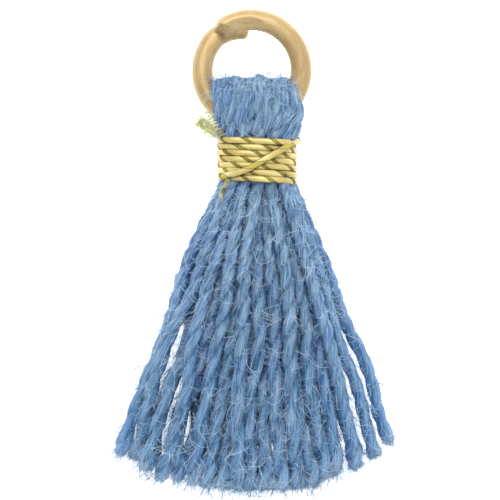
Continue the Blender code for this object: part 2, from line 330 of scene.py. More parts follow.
def mixed(share, first, second):
    """The first colour where the share is 0, and the second where it is 1."""
    return share.node("ShaderNodeMix", share, output=2, at={6: first, 7: second}, data_type="RGBA")


def bumped(height, strength, distance):
    return height.node("ShaderNodeBump", Strength=strength, Distance=distance * MM, Height=height)


def feed(shader, **varying):
    """Link what changes over the surface to the shader's sockets."""
    for socket, wire in varying.items():
        wire.tree.links.new(wire.socket, shader.inputs[socket.replace("_", " ")])


def satin_gold():
    """Satin plated brass, with faint drawing lines along the wire and a few dull specks. Painted light
    makes the top of the ring lighter, and a painted shade spot darkens the crevice under the nipped end.
    """
    material, shader, place = finish_of("satin_brass", Metallic=0.50)
    x = place.parts()["X"] - RING_CENTRE[0] * MM
    y = place.parts()["Y"] - RING_CENTRE[1] * MM
    around = x.math("ARCTAN2", y, x) * 3.3
    reach = x.math("SQRT", x * x + y * y) * 1000.0
    lines = noise(x.xyz(around, reach * 11.0, place.parts()["Z"] * 11000.0), 1.2)
    patches = noise(place, 420.0)
    specks = noise(place, 2600.0, 1.0).ease(0.70, 0.78)
    tone = toned(lines * 0.60 + patches * 0.40, (0.30, (0.43, 0.300, 0.126)),
                 (0.50, (0.545, 0.385, 0.176)), (0.70, (0.66, 0.500, 0.275)))
    # painted light: the wire's colour is made lighter towards the top of the ring
    tone = tone.scaled(0.95 + 0.13 * y.ease(0.5 * MM, 3.2 * MM))
    dull = mixed(specks * 0.55, tone, (0.28, 0.17, 0.06, 1.0))
    # painted shade: the colour darkens to a dark brown in the crevice under the nipped end
    away = place.vector("DISTANCE", tuple(size * MM for size in CREVICE_SHADE_SPOT))
    crevice_shade = 1.0 - away.ease(0.10 * MM, 0.48 * MM)
    dull = mixed(crevice_shade * 0.85, dull, (0.14, 0.035, 0.008, 1.0))
    feed(shader, Base_Color=dull, Roughness=0.42 + lines * 0.22, Normal=bumped(lines, 0.6, 0.03))
    return material


wire_ring = jump_ring()
wire_ring.data.materials.append(satin_gold())
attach(wire_ring, "root")
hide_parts("ring")

# ------------------------------------------------------------ yarn
# Sixteen lengths of blue two-ply yarn, spun with a Z twist, are folded over the ring. Each is
# one piece from hem to hem: a leg, the neck, the fold over the ring, the neck and another leg.

LEG_RADIUS = 0.49
ROOT_SIZE = 0.54          # the yarn's size in the neck, as a share of its size in the open
FOLD_SIZE = 0.59
LEG_TOP = -1.50
LEG_BOTTOM = -22.4
LEVEL_STEP = 0.70
ROOT_CENTRE = -0.06
ROOT_REACH = 2.08
ROOT_OVAL = 2.35
MID_HEIGHT = 2.35
PLY_RADIUS = 0.368
PLY_OFFSET = 0.130
TWIST_PITCH = 3.1         # one turn of the plies where the yarn is full, shorter where it is thin

# Rows of legs packed in the neck, back to front: height above the neck's middle, and legs.
ROOT_ROWS = ((-1.40, 5), (-0.70, 7), (0.0, 8), (0.70, 7), (1.40, 5))

# The skirt's outline, from the neck to below the hem: edges along X at levels along Y.
SKIRT = (
    ("level", "left", "right"),
    (-1.5, -2.42, 2.45),
    (-2.3, -3.55, 3.20),
    (-3.0, -3.68, 3.22),
    (-4.3, -4.05, 3.52),
    (-5.6, -4.45, 3.82),
    (-8.3, -5.02, 4.78),
    (-10.1, -5.28, 5.78),
    (-13.4, -7.55, 6.58),
    (-17.4, -9.65, 7.86),
    (-22.2, -11.35, 9.65),
)

# Where the cut ends lie, from left to right: levels along Y at places along X.
HEM = (
    ("across", "level"),
    (-9.9, -19.7), (-8.6, -20.1), (-7.3, -20.5), (-6.3, -21.4), (-3.9, -21.6), (-2.9, -21.9),
    (1.1, -22.0), (3.6, -21.8), (4.8, -21.1), (6.4, -20.6), (7.6, -20.0), (8.6, -18.8),
)

# The two layers of the skirt at the hem: legs, outermost places along X, and height.
LAYERS = (
    (13, -7.20, 6.05, LEG_RADIUS),
    (19, -9.40, 8.50, 2.5 * LEG_RADIUS),
)
LONE_FROM, LONE_TO = 0.72, 0.86   # shares of the half width, from which a leg lies by itself
SETTLE_POWER = 2.2
FAN_SHARE = 0.75
SWAY = 0.16

# Where the yarn changes size: levels below the neck, over the neck and below the upper skirt,
# shares of the half width, and heights over the table.
SKIRT_FILLS, FOLD_FILLS, LOWER_SKIRT = (1.6, 11.5), (1.4, 2.8), (6.0, 10.0)
EDGE_THINS, EDGE_FILLS, UNDER_FILLS = (0.62, 0.84), (0.80, 0.66), (1.15, 0.85)
LEFT_THINNING = 0.24
RIGHT_THINNING = 0.52
UNDER_FULLNESS = 0.32

# Gaps where the table shows between legs, from top to bottom: place along X, along Y, and half
# the opening. The last row of each lies beyond the hem.
GAPS = (
    ((-4.88, -9.7, 0.0), (-5.47, -12.5, 0.22), (-6.02, -13.9, 0.26), (-6.82, -16.4, 0.14),
     (-7.28, -17.7, 0.02), (-8.00, -20.1, 0.0)),
    ((-4.93, -13.9, 0.0), (-5.13, -14.5, 0.10), (-5.53, -16.4, 0.20), (-6.10, -18.3, 0.26),
     (-6.41, -19.3, 0.05), (-6.80, -20.9, 0.0)),
    ((-4.46, -15.8, 0.0), (-4.62, -16.4, 0.03), (-4.93, -18.6, 0.06), (-5.13, -19.5, 0.0),
     (-5.40, -21.2, 0.0)),
    ((5.85, -11.4, 0.0), (6.45, -12.7, 0.05), (6.86, -13.7, 0.10), (7.14, -14.8, 0.17),
     (7.32, -15.8, 0.19), (7.50, -16.9, 0.19), (7.85, -18.0, 0.20), (8.20, -19.1, 0.34)),
    ((5.70, -13.2, 0.0), (5.98, -14.3, 0.06), (6.22, -15.7, 0.20), (6.41, -16.6, 0.24),
     (6.84, -18.4, 0.23), (7.08, -19.4, 0.27), (7.28, -20.1, 0.30)),
    ((5.26, -16.9, 0.0), (5.42, -17.7, 0.04), (5.60, -18.2, 0.06), (5.86, -21.0, 0.10)),
)
GAP_CLEARANCE = 0.40
FUZZ_CLEARANCE = 0.16
MOST_ASIDE = 0.9

# Crowding legs: the room each keeps, and the shares by which a pass pushes, smooths and restores.
CROWD_ROOM, CROWD_GAP = 1.07, 0.03
PUSH, SMOOTH, RESTORE = 0.35, 0.25, 0.01

# The fold over the ring: its outermost yarns at the top and at its widest, along X, how high it
# reaches along Y, and how far its outer and inner yarns stand off the middle of its thickness.
FOLD_TOP_LEFT, FOLD_TOP_RIGHT = -2.60, 1.72
FOLD_LEFT, FOLD_RIGHT = -2.56, 2.50
FOLD_TOP, LOWEST_TOP, OVER_WIRE = 5.10, 4.2, 1.2
OUTER_DEPTH, INNER_DEPTH = 1.90, 1.28


def look_up(table, name, at):
    """A table's column, read at a place along its first column."""
    names, *rows = table
    rows = np.array(sorted(rows))
    return np.interp(at, rows[:, 0], rows[:, names.index(name)])


def leg_layout():
    """Each leg's root, place across the hem, height there and layer, before they are spread."""
    roots = []
    for height, legs in ROOT_ROWS:
        reach = ROOT_REACH * math.sqrt(1.0 - (height / ROOT_OVAL) ** 2)
        for k in range(legs):
            roots.append((ROOT_CENTRE - reach + 2.0 * reach * k / (legs - 1), MID_HEIGHT + height))
    roots.sort(key=lambda root: root[1] + 0.01 * root[0])
    layout = []
    for layer_number, (legs, first, last, height) in enumerate(LAYERS):
        layer = sorted(roots[:legs])
        roots = roots[legs:]
        for k, root in enumerate(layer):
            share = 2.0 * k / (legs - 1) - 1.0
            across = (first + last) / 2 + (last - first) / 2 * share * (0.93 + 0.07 * share ** 2)
            lone = smooth_step(LONE_FROM, LONE_TO, abs(share))
            layout.append((root, across, height + (LEG_RADIUS - height) * lone, layer_number))
    return layout


def spread_apart(places, radii, passes=400):
    """Push crowding legs apart at every level, and keep them smooth and above the table."""
    start = places.copy()
    room = 2.0 * radii[:, None, None] * CROWD_ROOM + CROWD_GAP
    same = np.arange(places.shape[1])
    for _ in range(passes):
        gap = places[:, :, None, :] - places[:, None, :, :]
        apart = np.sqrt((gap ** 2).sum(axis=3)) + 1e-6
        push = np.clip(room - apart, 0.0, None)
        push[:, same, same] = 0.0
        places = places + PUSH * (gap / apart[..., None] * push[..., None]).sum(axis=2)
        places[1:-1] += SMOOTH * (places[:-2] + places[2:] - 2.0 * places[1:-1])
        places += RESTORE * (start - places)
        places[:1] = start[:1]
        places[..., 1] = np.maximum(places[..., 1], radii[:, None])
    return places


def legs_of_the_skirt():
    """Root and centre line of every leg, from the neck down to its cut end."""
    draw = np.random.default_rng(5)
    layout = leg_layout()
    levels = np.arange(LEG_TOP, LEG_BOTTOM, -LEVEL_STEP)
    radii = LEG_RADIUS * (0.6 + 0.4 * smooth_step(2.2, 8.5, -levels))
    left = look_up(SKIRT, "left", levels) + radii
    right = look_up(SKIRT, "right", levels) - radii
    share = (LEG_TOP - levels) / (LEG_TOP - levels[-1])
    places = np.zeros((len(levels), len(layout), 2))
    for k, (root, across, hem_height, _) in enumerate(layout):
        root_part = (root[0] - left[0]) / (right[0] - left[0])
        hem_level = look_up(HEM, "level", across)
        hem_left = np.interp(hem_level, levels[::-1], left[::-1])
        hem_right = np.interp(hem_level, levels[::-1], right[::-1])
        hem_part = (across - hem_left) / (hem_right - hem_left)
        part = root_part + (hem_part - root_part) * smooth_step(0.0, FAN_SHARE, share)
        sway = draw.uniform(0.0, SWAY) * np.sin(share * 5.0 + draw.uniform(0.0, 6.3)) * share
        places[:, k, 0] = left + (right - left) * part + sway
        places[:, k, 1] = root[1] + (hem_height - root[1]) * (1.0 - (1.0 - share) ** SETTLE_POWER)
    places = spread_apart(places, radii)
    legs = []
    for k, (root, across, _, layer) in enumerate(layout):
        end = look_up(HEM, "level", across)
        end += draw.uniform(-0.10, 0.15) if layer else draw.uniform(0.20, 0.90)
        rows = np.append(levels[levels > end + 0.35 * LEVEL_STEP], end)
        x = np.interp(-rows, -levels, places[:, k, 0])
        z = np.interp(-rows, -levels, places[:, k, 1])
        legs.append((root, clear_of_gaps(np.column_stack([x, rows, z]))))
    return legs


def clear_of_gaps(leg):
    """Move a leg aside where it would cover a gap, to the side that its cut end lies on."""
    leg = leg.copy()
    room = FUZZ_CLEARANCE + GAP_CLEARANCE * yarn_size(leg)
    for gap in GAPS:
        across, level, half = (np.array(part) for part in zip(*gap))
        middle = np.interp(-leg[:, 1], -level, across)
        open_half = np.interp(-leg[:, 1], -level, half, left=0.0)
        way = 1.0 if leg[-1, 0] > middle[-1] else -1.0
        short = room + open_half - way * (leg[:, 0] - middle)
        shift = way * np.clip(short, 0.0, MOST_ASIDE) * smooth_step(0.0, 0.05, open_half)
        for _ in range(3):
            shift[1:-1] = (shift[:-2] + 2.0 * shift[1:-1] + shift[2:]) / 4
        leg[:, 0] += shift
    return leg


def fold_over_ring(near, far, share, outer, lift):
    """Points of one yarn from its front root, up and over the ring, to its back root."""
    top_x = FOLD_TOP_LEFT + (FOLD_TOP_RIGHT - FOLD_TOP_LEFT) * share
    wide_x = FOLD_LEFT + (FOLD_RIGHT - FOLD_LEFT) * share
    edge = abs(2.0 * share - 1.0)
    if outer:
        depth, top = OUTER_DEPTH - 0.45 * edge ** 3, FOLD_TOP + lift - 0.10 * edge ** 4
    else:
        turn = (top_x * 0.9 - RING_CENTRE[0]) / RING_RADIUS
        wire = RING_CENTRE[1] - RING_RADIUS * math.sqrt(1.0 - turn ** 2)
        depth, top = INNER_DEPTH, wire + OVER_WIRE + lift
    top = max(top, LOWEST_TOP)
    low_x = (near[0] + wide_x) / 2

    def side(root, way):
        height = root[1] - MID_HEIGHT
        return [
            (root[0] * 0.95, -0.9, MID_HEIGHT + height * 0.95),
            (root[0], 0.4, MID_HEIGHT + height * 0.95),
            (root[0] * 0.75 + wide_x * 0.25, 1.40, MID_HEIGHT + height * 0.75 + way * depth * 0.28),
            (low_x * 0.4 + wide_x * 0.6, 2.25, MID_HEIGHT + way * depth * 0.93),
            (wide_x, 3.30, MID_HEIGHT + way * depth * 1.02),
            ((wide_x + top_x) / 2, top - 0.85, MID_HEIGHT + way * depth * 0.93),
            (top_x, top - 0.22, MID_HEIGHT + way * depth * 0.52),
        ]

    return side(near, 1.0) + [(top_x, top, MID_HEIGHT)] + side(far, -1.0)[::-1]


def through(points, step=0.25):
    """A smooth line through the points, with a point every step."""
    points = np.array(points, float)
    padded = np.vstack([2 * points[0] - points[1], points, 2 * points[-1] - points[-2]])
    line = []
    for a, b, c, d in zip(padded, padded[1:], padded[2:], padded[3:]):
        count = max(int(np.linalg.norm(c - b) / step), 1)
        for t in np.arange(count) / count:
            line.append(0.5 * (2 * b + (c - a) * t + (2 * a - 5 * b + 4 * c - d) * t ** 2
                               + (3 * b - a - 3 * c + d) * t ** 3))
    line.append(points[-1])
    return np.array(line)


def yarn_size(line):
    """The yarn's size along a line: squeezed in the neck, fuller over the ring and in the skirt."""
    x, y, z = line.T
    skirt = smooth_step(*SKIRT_FILLS, -y)
    fold = smooth_step(*FOLD_FILLS, y)
    edge = np.where(x > 0, look_up(SKIRT, "right", y), look_up(SKIRT, "left", y))
    lower = smooth_step(*LOWER_SKIRT, -y)
    thinning = np.where(x > 0, RIGHT_THINNING, LEFT_THINNING)
    lone = smooth_step(*EDGE_THINS, x / edge) * lower
    under = smooth_step(*UNDER_FILLS, z) * smooth_step(*EDGE_FILLS, x / edge) * lower
    size = ROOT_SIZE + (1.0 - ROOT_SIZE) * skirt + (FOLD_SIZE - ROOT_SIZE) * fold
    return size - thinning * lone + UNDER_FULLNESS * under


def plies_turned(line, size, pitch):
    """Turns of the two plies up to each point of a line."""
    lengths = np.linalg.norm(np.diff(line, axis=0), axis=1)
    pitches = pitch * (0.32 + 0.68 * size)
    return np.concatenate([[0.0], np.cumsum(lengths / pitches[1:])])


def yarn_lines():
    """The centre line of each of the sixteen yarns, from hem to hem."""
    draw = np.random.default_rng(11)
    rows = {height: [] for height, _ in ROOT_ROWS}
    for root, leg in legs_of_the_skirt():
        rows[min(rows, key=lambda height: abs(root[1] - MID_HEIGHT - height))].append((root, leg))
    back_low, back_high, middle, front_low, front_high = (
        sorted(rows[height], key=lambda leg: leg[0][0]) for height, _ in ROOT_ROWS)
    outer = (front_high + front_low[0::2], back_low + back_high[0::2])
    inner = (front_low[1::2] + middle[0::2], back_high[1::2] + middle[1::2])
    lines = []
    for is_outer, sides in ((True, outer), (False, inner)):
        fronts, backs = (sorted(side, key=lambda leg: leg[0][0]) for side in sides)
        for k, (near, far) in enumerate(zip(fronts, backs)):
            share = k / (len(fronts) - 1) if is_outer else (k + 0.5) / len(fronts)
            fold = fold_over_ring(near[0], far[0], share, is_outer, draw.uniform(-0.10, 0.12))
            lines.append(through(list(near[1][::-1]) + fold + list(far[1])))
    return lines


def thread_source(name, lines, **values):
    """An object of bare edges, one run for each line, with named values at its points."""
    mesh = bpy.data.meshes.new(name)
    edges, start = [], 0
    for line in lines:
        edges.extend((start + i, start + i + 1) for i in range(len(line) - 1))
        start += len(line)
    mesh.from_pydata([tuple(point * MM) for line in lines for point in line], edges, [])
    for key, runs in values.items():
        column = np.concatenate(runs).astype(np.float32)
        kind, field = ("FLOAT", "value") if column.ndim == 1 else ("FLOAT_VECTOR", "vector")
        mesh.attributes.new(key, kind, "POINT").data.foreach_set(field, column.ravel())
    return placed(name, mesh)


def new_tree(name, sizes):
    """A Geometry Nodes tree with one named input for each size and a Geometry in and out."""
    tree = bpy.data.node_groups.new(name, "GeometryNodeTree")
    for way in ("INPUT", "OUTPUT"):
        tree.interface.new_socket("Geometry", in_out=way, socket_type="NodeSocketGeometry")
    for size, default in sizes.items():
        kind = {int: "Int", float: "Float"}.get(type(default), "Material")
        socket = tree.interface.new_socket(size, in_out="INPUT", socket_type="NodeSocket" + kind)
        if default is not None:
            socket.default_value = default
    return tree, Wire(tree).node("NodeGroupInput")


def end_tree(tree, geometry, material):
    """Every tree ends by realizing its instances and setting its material."""
    real = geometry.node("GeometryNodeRealizeInstances", Geometry=geometry)
    dressed = real.node("GeometryNodeSetMaterial", Geometry=real, Material=material)
    real.node("NodeGroupOutput", Geometry=dressed)
    return tree


def made_by(tree, source, name, **sizes):
    """Run a tree on a source, and keep the result as a plain mesh piece in the source's place."""
    modifier = source.modifiers.new(tree.name, "NODES")
    modifier.node_group = tree
    for item in tree.interface.items_tree:
        if item.in_out == "INPUT" and item.name.replace(" ", "_") in sizes:
            modifier[item.identifier] = sizes[item.name.replace(" ", "_")]
    graph = bpy.context.evaluated_depsgraph_get()
    mesh = bpy.data.meshes.new_from_object(source.evaluated_get(graph))
    source.modifiers.remove(modifier)
    bpy.data.objects.remove(source)
    mesh.name = name
    return placed(name, mesh)


def kept(geometry, kind, **values):
    """Store named values of one kind on the points."""
    for name, value in values.items():
        geometry = geometry.node("GeometryNodeStoreNamedAttribute", Geometry=geometry, Name=name,
                                 Value=value, data_type=kind, domain="POINT")
    return geometry


def stored(wire, name, kind="FLOAT"):
    return wire.node("GeometryNodeInputNamedAttribute", data_type=kind, Name=name)


def moved(geometry, **way):
    """Set the points' Position, or move them by an Offset."""
    return geometry.node("GeometryNodeSetPosition", Geometry=geometry, **way)


def even_curves(given):
    """The source's runs of edges as curves, with a point every step."""
    line = given.node("GeometryNodeMeshToCurve", Mesh=given["Geometry"])
    return line.node("GeometryNodeResampleCurve", Curve=line, Length=given["Step"], mode="LENGTH")


def sized(line, radius):
    return line.node("GeometryNodeSetCurveRadius", Curve=line, Radius=radius)


def circle_of(wire, sides, radius):
    return wire.node("GeometryNodeCurvePrimitiveCircle", Resolution=sides, Radius=radius, mode="RADIUS")


def swept(line, profile):
    """A closed tube along each line."""
    return line.node("GeometryNodeCurveToMesh", Curve=line, Profile_Curve=profile, Fill_Caps=True)


def end_smooth(tree, mesh, material):
    """End a tree with a smooth mesh that lies on the table."""
    mesh = above_table(mesh)
    return end_tree(tree, mesh.node("GeometryNodeSetShadeSmooth", Geometry=mesh), material)


def spun_yarn_tree():
    """Two plies twisted round each line, each ply a lumpy tube that remembers its grain."""
    tree, given = new_tree("spun_yarn", {
        "Step": 0.18 * MM, "Ply Radius": PLY_RADIUS * MM, "Ply Offset": PLY_OFFSET * MM,
        "Sides": 8, "Lumps": 0.05 * MM, "Wave": 0.45 * MM, "Yarn": None,
    })
    line = even_curves(given)
    line = line.node("GeometryNodeSetCurveNormal", Curve=line, mode="MINIMUM_TWIST")
    place = line.node("GeometryNodeInputPosition")
    wave = noise(place, 260.0, 1.0)["Color"].vector("SUBTRACT", (0.5, 0.5, 0.5))
    line = moved(line, Offset=wave.scaled(stored(line, "size").ease(0.80, 1.0) * given["Wave"]))
    so_far = line.node("GeometryNodeSplineParameter", output=1)
    whole = line.node("GeometryNodeSplineLength")
    to_end = line.math("MINIMUM", so_far, whole - so_far)
    open_end = 1.0 - to_end.ease(0.0, 1.9 * MM)
    untwisted = 1.0 - to_end.ease(0.0, 10.0 * MM)
    hemward = 1.0 - 2.0 * (whole * 0.5 - so_far).ease(-0.001, 0.001)
    size = stored(line, "size")
    side = line.node("GeometryNodeInputNormal")
    across = line.node("GeometryNodeInputTangent").vector("CROSS_PRODUCT", side)
    above = place.parts()["Y"].ease(-1.0 * MM, 1.0 * MM)
    tight = (1.0 - size).ease(0.14, 0.30) * (0.40 + 0.60 * above)
    loose = noise(place, 210.0)
    plies = []
    for ply in range(2):
        turn = stored(line, "turns") * (2 * math.pi) + whole * 9000.0 + (ply * math.pi + 4.2 * loose)
        turn = turn - hemward * untwisted * 5.5
        reach = given["Ply Offset"] * size * (1.0 + 1.0 * open_end + 0.20 * untwisted + 1.10 * tight)
        offset = side.scaled(line.math("COSINE", turn) * reach)
        offset = offset.vector("ADD", across.scaled(line.math("SINE", turn) * reach))
        strand = moved(kept(line, "FLOAT_VECTOR", axis=place), Offset=offset)
        flow = strand.node("GeometryNodeInputTangent").scaled(hemward)
        strand = kept(strand, "FLOAT_VECTOR", flow=flow)
        strand = kept(strand, "FLOAT", distance=so_far + ply * 0.05, open_end=open_end,
                      untwisted=untwisted, strand=strand.math("FRACT", whole * 91000.0))
        slub = noise(place.vector("ADD", line.xyz(ply * 0.01, 0.0, 0.0)), 420.0)
        thick = size * (0.68 + 0.64 * slub) * (1.0 + 0.30 * open_end + 0.30 * untwisted)
        thick = thick * (1.0 - 0.24 * tight) * (0.86 + 0.28 * line.math("FRACT", whole * 37000.0))
        plies.append(sized(strand, thick))
    both = line.node("GeometryNodeJoinGeometry", Geometry=plies)
    circle = circle_of(line, given["Sides"], given["Ply Radius"])
    rim = circle.node("GeometryNodeInputPosition").vector("NORMALIZE")
    mesh = swept(both, kept(circle, "FLOAT_VECTOR", rim=rim))
    along = mesh.xyz(0.0, 0.0, stored(mesh, "distance") * 350.0)
    grain = stored(mesh, "rim", "FLOAT_VECTOR").vector("ADD", along)
    mesh = kept(mesh, "FLOAT_VECTOR", grain=grain)
    lump = noise(grain, 2.2) - 0.5
    mesh = moved(mesh, Offset=mesh.node("GeometryNodeInputNormal").scaled(lump * given["Lumps"] * 2.0))
    # crest and outer measure how far a point lies out from its ply's axis and towards the tassel's outside;
    # the yarn's colour uses them for painted shade in the grooves and on the strands' inner sides
    place, axis = mesh.node("GeometryNodeInputPosition"), stored(mesh, "axis", "FLOAT_VECTOR")
    full = given["Ply Radius"] * stored(mesh, "size")
    crest = (place.vector("DISTANCE", axis) / full).ease(0.84, 1.38)
    facing = place.vector("SUBTRACT", axis).vector("DOT_PRODUCT", outward(mesh))
    mesh = kept(mesh, "FLOAT", crest=crest, outer=(facing / full).ease(-0.35, 0.95))
    return end_smooth(tree, mesh, given["Yarn"])


def outward(wire):
    """The way out of the tassel at a place: away from the middle of its thickness there."""
    place = wire.node("GeometryNodeInputPosition").parts()
    fallen = (0.0 - place["Y"]).ease(2 * MM, 18 * MM)
    height = place["Z"] - MID_HEIGHT * MM + 1.45 * MM * fallen
    return wire.xyz(place["X"] * 0.3, 0.0, height).vector("NORMALIZE")


def above_table(mesh):
    """Press what would sink into the table flat on it."""
    place = mesh.node("GeometryNodeInputPosition").parts()
    height = mesh.math("MAXIMUM", place["Z"], 0.015 * MM)
    return moved(mesh, Position=mesh.xyz(place["X"], place["Y"], height))


def yarn_finish():
    """Matt dyed cotton: streaks along the fibres and slow changes of tint, with painted shade in the
    grooves and on sides facing into the tassel, painted light at the cut ends and a painted highlight.
    """
    material, shader, place = finish_of(
        "blue_yarn", Roughness=0.92, Sheen_Weight=0.12, Sheen_Roughness=0.5,
        Sheen_Tint=(0.40, 0.62, 0.95, 1.0), Specular_IOR_Level=0.08, Subsurface_Weight=0.30,
        Subsurface_Radius=(0.25, 0.5, 1.0), Subsurface_Scale=0.45 * MM)
    grain = place.node("ShaderNodeAttribute", attribute_name="grain", output=1)
    crest, strand, open_end, untwisted, outer = (
        place.node("ShaderNodeAttribute", attribute_name=name, output=2)
        for name in ("crest", "strand", "open_end", "untwisted", "outer"))
    level = place.parts()["Y"]
    low = (0.0 - level).ease(4 * MM, 18 * MM)
    high = level.ease(-14.0 * MM, -5.0 * MM)
    tint = noise(place, 130.0, 1.0, (3.0, 0.8, 3.0)) * 0.60 + strand * 0.40
    tone = toned(tint, (0.30, (0.160, 0.268, 0.388)), (0.50, (0.154, 0.261, 0.403)),
                 (0.70, (0.141, 0.243, 0.423)))
    tone = mixed(low, tone, tone.vector("MULTIPLY", (1.01, 1.12, 1.15)))
    streak = noise(grain, 1.0, 4.0, (3.4, 3.4, 0.8))
    mottle = noise(place, 900.0, 3.0)
    fleck = noise(grain, 1.0, 1.5, (2.6, 2.6, 4.2)) - 0.5
    thin = noise(grain, 1.0, 2.0, (9.0, 9.0, 4.0)).ease(0.57, 0.72)
    # painted shade: darker in the grooves between the plies, less so where the yarn untwists towards its
    # ends
    crest_light = crest * (1.0 - untwisted * 0.6) + untwisted * 0.35
    # streaks and mottling of the fibres, with painted light where the yarn opens at its cut ends
    light = streak.ease(0.34, 0.66) * 0.70 + mottle * 0.60 + open_end * 0.10 + 0.35
    light = light + fleck * (1.2 + 1.6 * high)
    light = light * (0.42 - 0.20 * high + (0.76 + 0.20 * high) * crest_light)
    # painted shade on the sides of each strand that face into the tassel, and more painted light at the cut
    # ends
    light = light * (0.50 - 0.20 * high + (0.60 + 0.20 * high) * outer + open_end * 0.15)
    light = light * (1.0 - 0.04 * high) + thin * (0.30 + 0.35 * high)
    # the painted light runs from a deep navy painted shade through the yarn's tone to a whitish painted
    # highlight where it goes above 1
    blue = mixed(light, (0.0, 0.045, 0.150, 1.0), tone)
    blue = mixed(light - 1.0, blue, (0.315, 0.455, 0.61, 1.0))
    feed(shader, Base_Color=blue, Normal=bumped(streak, 1.0, 0.07))
    return material


lines = yarn_lines()
sizes = [yarn_size(line) for line in lines]
pitches = TWIST_PITCH * np.random.default_rng(21).uniform(0.82, 1.25, len(lines))
turns = [plies_turned(*each) for each in zip(lines, sizes, pitches)]
yarn_source = thread_source("yarn_lines", lines, size=sizes, turns=turns)
spun_yarn = made_by(spun_yarn_tree(), yarn_source, "spun_yarn", Yarn=yarn_finish())
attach(spun_yarn, "root")
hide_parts("yarn")

# ------------------------------------------------------------ binding
# Olive thread with a strip of pale gold foil wrapped round it in an open spiral. It is wound
# seven times round the neck, crosses its own turns once and ends frayed at both ends.

TURNS = 7
TURN_STEPS = 72
LEAD_IN, CUT_SHORT = 10, 5        # steps before the first turn's left edge, and off the last turn
TURN_PITCH = 0.417
TURN_SLIP, SLIPS_A_TURN = 0.05, 3   # how far the turns wander, and how often they change their way
BAND_CENTRE = -0.10
BAND_HALF_WIDTH = 2.50
BAND_HALF_DEPTH = 2.24
BAND_SQUARENESS = 2.4
BAND_TOP = 1.27
BAND_TILT = 0.020
FIRST_TURN_RISE = 0.34            # where the first turn climbs over the yarn that swells beside it
THREAD_HALF_WIDTH = 0.205
THREAD_HALF_THICKNESS = 0.17
FOIL_PITCH = 1.96
FOIL_STEP_BACK = 0.64
FOIL_START = 1.55
FOIL_SLIP = 0.13                  # turns by which the strip wanders, at places so far apart
SLIP_PLACES = np.arange(0, 120, 2.3)
FIRST_PATCH = 1.88
PATCH_PITCH = 2.64
CROSSING_SIZE = 1.45
STUB_SIZE, STUB_PITCH = 0.62, 0.38
BARE_SHARES = (0.21, 0.40, 0.45)  # of the turns, the crossing turn and the frayed end

# The crossing turn, from the right edge down to the left: across, level and height over the band.
CROSSING = (
    (2.50, 1.36, -1.20),
    (2.66, 1.30, -0.26),
    (2.40, 1.13, 0.10),
    (1.90, 0.82, 0.27),
    (0.80, 0.16, 0.29),
    (-0.37, -0.54, 0.29),
    (-1.20, -0.90, 0.27),
    (-2.00, -1.10, 0.20),
    (-2.55, -1.20, -0.50),
)

# The frayed end's thread and the middle of its tuft's tip: places along X, Y and Z.
FRAYED_STUB = ((-2.05, 0.95, 3.75), (-2.36, 1.36, 3.60), (-2.62, 1.72, 3.45), (-2.95, 2.02, 3.38))
TUFT_TIP = (-3.88, 2.48, 3.40)


def band_point(turn):
    """A point of the band's section at an angle, pressed flat underneath, and its outward way."""
    cos, sin = math.cos(turn), math.sin(turn)
    size = (abs(cos) ** BAND_SQUARENESS + abs(sin) ** BAND_SQUARENESS) ** (-1.0 / BAND_SQUARENESS)
    x, z = BAND_HALF_WIDTH * size * cos, BAND_HALF_DEPTH * size * sin
    steep = np.array([abs(x / BAND_HALF_WIDTH) ** 1.4 * np.sign(x) / BAND_HALF_WIDTH, 0.0,
                      abs(z / BAND_HALF_DEPTH) ** 1.4 * np.sign(z) / BAND_HALF_DEPTH])
    place = np.array([BAND_CENTRE + x, 0.0, max(MID_HEIGHT + z, THREAD_HALF_THICKNESS + 0.02)])
    return place, steep / np.linalg.norm(steep)


def wound_turns():
    """The seven turns, front side from left to right, with their outward ways."""
    points, ways = [], []
    slips = np.random.default_rng(3).uniform(-TURN_SLIP, TURN_SLIP, TURNS * SLIPS_A_TURN + 1)
    for step in range(-LEAD_IN, TURNS * TURN_STEPS - CUT_SHORT):
        place, way = band_point(math.pi * (1.0 - 2.0 * step / TURN_STEPS))
        slip = np.interp(step * SLIPS_A_TURN / TURN_STEPS, np.arange(len(slips)), slips)
        place[1] = BAND_TOP - TURN_PITCH * step / TURN_STEPS - BAND_TILT * place[0] + slip
        points.append(place)
        ways.append(way)
    return np.array(points), np.array(ways)


def crossing_turn():
    """The turn that lies over the others."""
    points, ways = [], []
    for across, level, raised in through(CROSSING, 0.08):
        part = min(abs(across - BAND_CENTRE) / (BAND_HALF_WIDTH + 0.17), 1.0)
        turn = math.acos(min(part, 0.9999) ** 1.2)
        place, way = band_point(turn if across > BAND_CENTRE else math.pi - turn)
        points.append((across, level, place[2] + raised))
        ways.append(way)
    return np.array(points), np.array(ways)


def run_length(points):
    """How far along a line each of its points lies."""
    return np.concatenate([[0.0], np.cumsum(np.linalg.norm(np.diff(points, axis=0), axis=1))])


